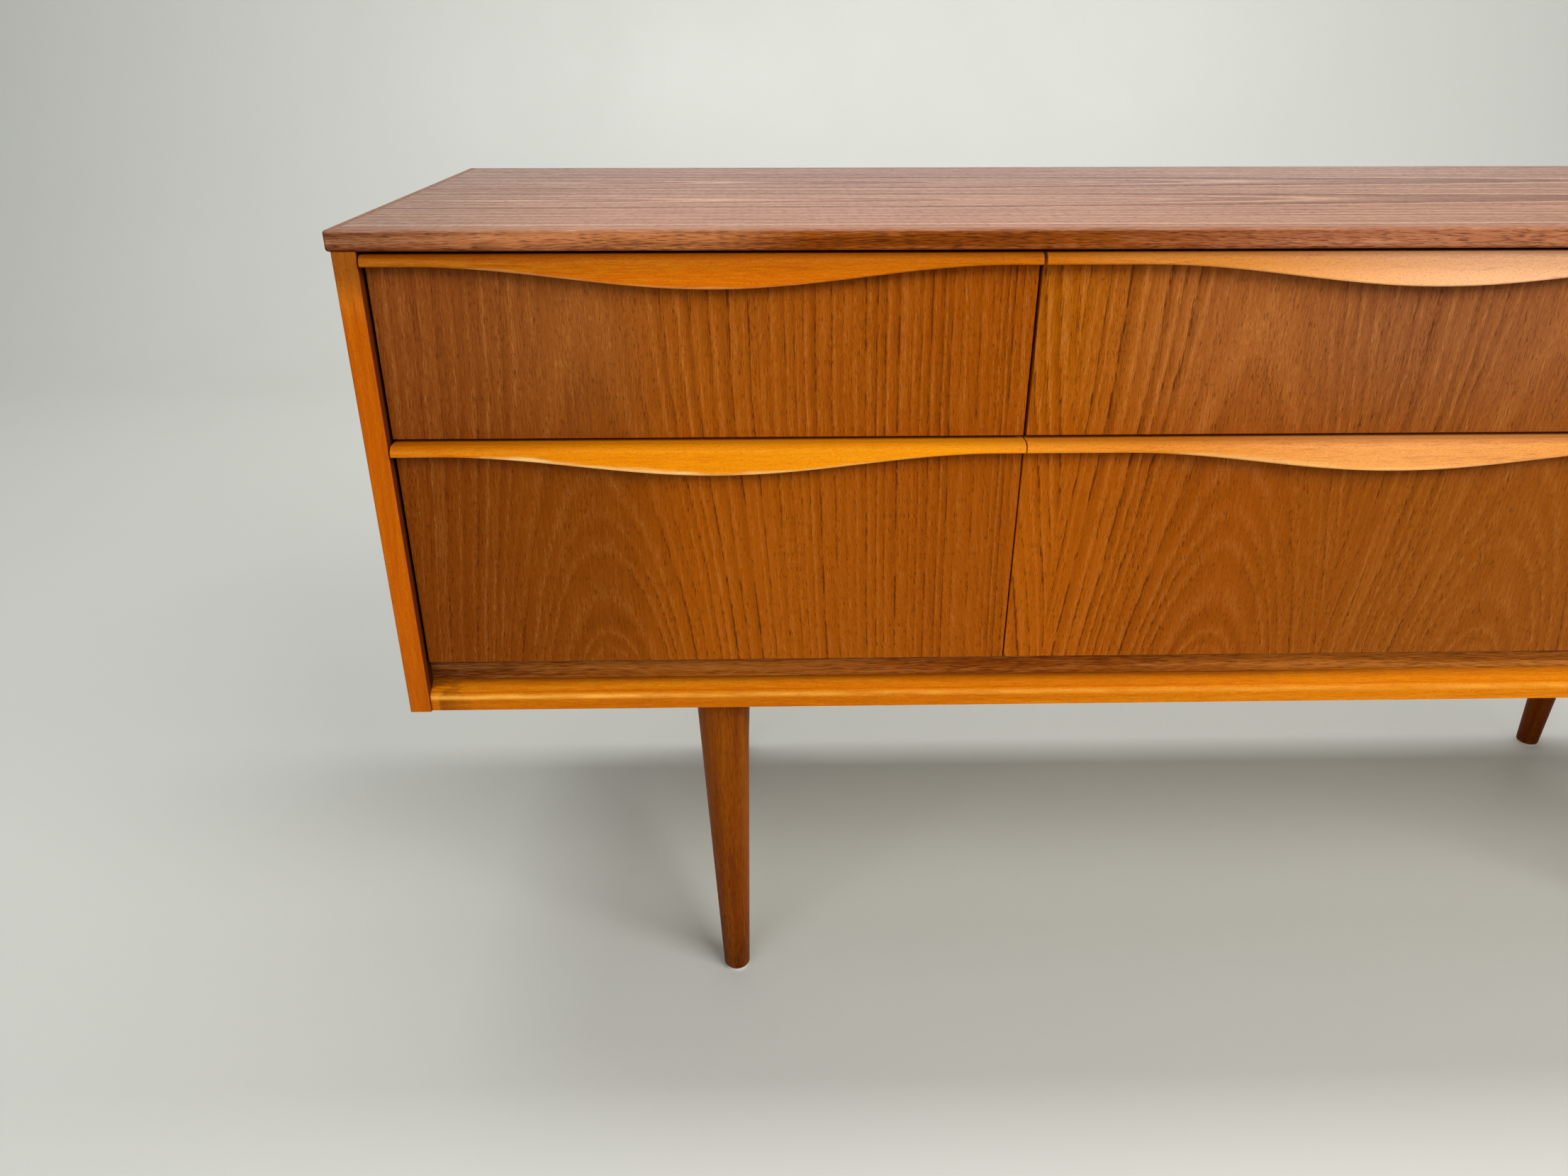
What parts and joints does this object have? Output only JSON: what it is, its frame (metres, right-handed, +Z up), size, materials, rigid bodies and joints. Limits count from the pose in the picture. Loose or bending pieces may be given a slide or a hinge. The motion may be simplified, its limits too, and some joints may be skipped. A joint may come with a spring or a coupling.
{
  "type": "dresser with drawers",
  "caption": "Long low dresser: veneered case on turned tapered legs, with sliding drawers opened by wave-shaped lip handles.",
  "frame": {"origin": "on the floor, under the middle of the overall footprint", "axes": "+X to the right along the front as the user faces it, +Y from the drawer fronts to the back, +Z up"},
  "size_m": [1.6274, 0.449, 0.7355],
  "materials": {
    "teak_top": "oiled teak veneer, long grain, satin",
    "teak_edge": "solid teak edging, satin",
    "teak_side": "teak veneer, vertical grain, satin",
    "teak_front": "teak veneer, vertical grain, satin",
    "teak_fascia": "teak, long grain, satin",
    "beech": "stained beech, satin lacquer",
    "leg_wood": "turned hardwood, teak stain, satin",
    "drawer_wood": "pale hardwood, waxed",
    "drawer_bottom": "thin plywood",
    "case_board": "stained board",
    "inner_hardwood": "plain hardwood",
    "back_board": "thin stained board",
    "felt": "off-white felt",
    "steel": "plain steel"
  },
  "bodies": {
    "case": {"back_panel": "back_board", "back_screws": "steel", "block_screws": "steel", "floor_panel": "case_board", "front_rail": "beech", "glide_back_left": "felt", "glide_back_right": "felt", "glide_front_left": "felt", "glide_front_right": "felt", "leg_back_left": "leg_wood", "leg_back_right": "leg_wood", "leg_blocks": "inner_hardwood", "leg_bolts": "steel", "leg_front_left": "leg_wood", "leg_front_right": "leg_wood", "lower_fascia": "teak_fascia", "partition_left": "case_board", "partition_right": "case_board", "runners_left": "inner_hardwood", "runners_middle": "inner_hardwood", "runners_right": "inner_hardwood", "side_lipping_left": "beech", "side_lipping_right": "beech", "side_panel_left": "teak_side", "side_panel_right": "teak_side", "top_cleats": "inner_hardwood", "top_lipping_front": "teak_edge", "top_lipping_left": "teak_edge", "top_lipping_right": "teak_edge", "top_panel": "teak_top"},
    "drawer_upper_left": {"upper_left_back": "drawer_wood", "upper_left_bottom": "drawer_bottom", "upper_left_front": "teak_front", "upper_left_handle": "beech", "upper_left_sides": "drawer_wood"},
    "drawer_upper_middle": {"upper_middle_back": "drawer_wood", "upper_middle_bottom": "drawer_bottom", "upper_middle_front": "teak_front", "upper_middle_handle": "beech", "upper_middle_sides": "drawer_wood"},
    "drawer_upper_right": {"upper_right_back": "drawer_wood", "upper_right_bottom": "drawer_bottom", "upper_right_front": "teak_front", "upper_right_handle": "beech", "upper_right_sides": "drawer_wood"},
    "drawer_lower_left": {"lower_left_back": "drawer_wood", "lower_left_bottom": "drawer_bottom", "lower_left_front": "teak_front", "lower_left_handle": "beech", "lower_left_sides": "drawer_wood"},
    "drawer_lower_middle": {"lower_middle_back": "drawer_wood", "lower_middle_bottom": "drawer_bottom", "lower_middle_front": "teak_front", "lower_middle_handle": "beech", "lower_middle_sides": "drawer_wood"},
    "drawer_lower_right": {"lower_right_back": "drawer_wood", "lower_right_bottom": "drawer_bottom", "lower_right_front": "teak_front", "lower_right_handle": "beech", "lower_right_sides": "drawer_wood"}
  },
  "joints": [
    {"name": "upper_left_slide", "type": "slide", "parent": "case", "child": "drawer_upper_left", "axis": [0, -1, 0], "range_m": [0, 0.3]},
    {"name": "upper_middle_slide", "type": "slide", "parent": "case", "child": "drawer_upper_middle", "axis": [0, -1, 0], "range_m": [0, 0.3]},
    {"name": "upper_right_slide", "type": "slide", "parent": "case", "child": "drawer_upper_right", "axis": [0, -1, 0], "range_m": [0, 0.3]},
    {"name": "lower_left_slide", "type": "slide", "parent": "case", "child": "drawer_lower_left", "axis": [0, -1, 0], "range_m": [0, 0.3]},
    {"name": "lower_middle_slide", "type": "slide", "parent": "case", "child": "drawer_lower_middle", "axis": [0, -1, 0], "range_m": [0, 0.3]},
    {"name": "lower_right_slide", "type": "slide", "parent": "case", "child": "drawer_lower_right", "axis": [0, -1, 0], "range_m": [0, 0.3]}
  ]
}
